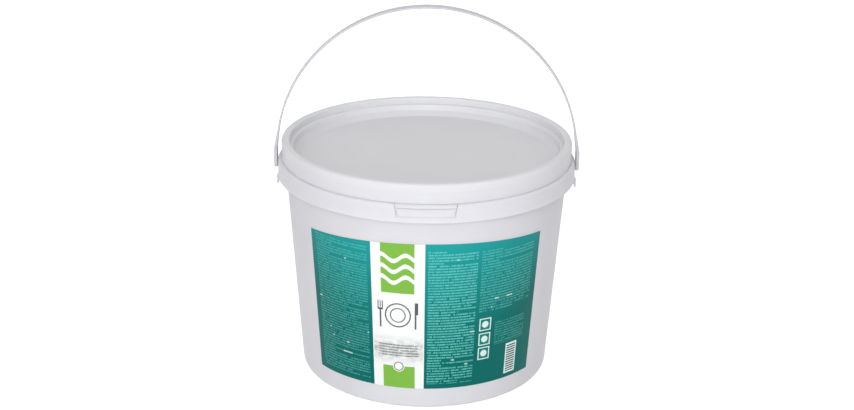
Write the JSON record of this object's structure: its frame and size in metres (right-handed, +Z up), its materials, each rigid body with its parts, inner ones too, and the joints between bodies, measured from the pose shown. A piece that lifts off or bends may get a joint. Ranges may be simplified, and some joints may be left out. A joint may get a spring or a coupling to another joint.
{
  "type": "dishwasher tablet tub",
  "caption": "Round tapered plastic tub with a recessed snap lid, a strap bail over the top, a film label on the front and wrapped tablets inside.",
  "frame": {"origin": "middle of the base, on the surface the tub stands on", "axes": "+Z up along the tub's axis, -Y towards the label, +X towards one bail ear"},
  "size_m": [0.2272, 0.2214, 0.2771],
  "materials": {
    "tub_plastic": "moulded white polypropylene",
    "lid_plastic": "moulded white polypropylene",
    "bail_plastic": "moulded white polypropylene",
    "label_film": "printed gloss film",
    "tablet_wrap": "soluble film over pressed powder"
  },
  "bodies": {
    "tub": {"tub": "tub_plastic", "label": "label_film", "tablets_layer_1": "tablet_wrap", "tablets_layer_2": "tablet_wrap", "tablets_layer_3": "tablet_wrap", "tablets_layer_4": "tablet_wrap", "tablets_layer_5": "tablet_wrap", "tablets_layer_6": "tablet_wrap", "tablets_layer_7": "tablet_wrap"},
    "lid": {"lid": "lid_plastic"},
    "bail": {"bail": "bail_plastic"}
  },
  "joints": [
    {"name": "lid_lift", "type": "slide", "parent": "tub", "child": "lid", "axis": [0, 0, 1], "range_m": [0, 0.0113]},
    {"name": "bail_swing", "type": "hinge", "parent": "tub", "child": "bail", "pos_m": [0, 0, 0.158], "axis": [1, 0, 0], "range_deg": [-110, 110]}
  ]
}
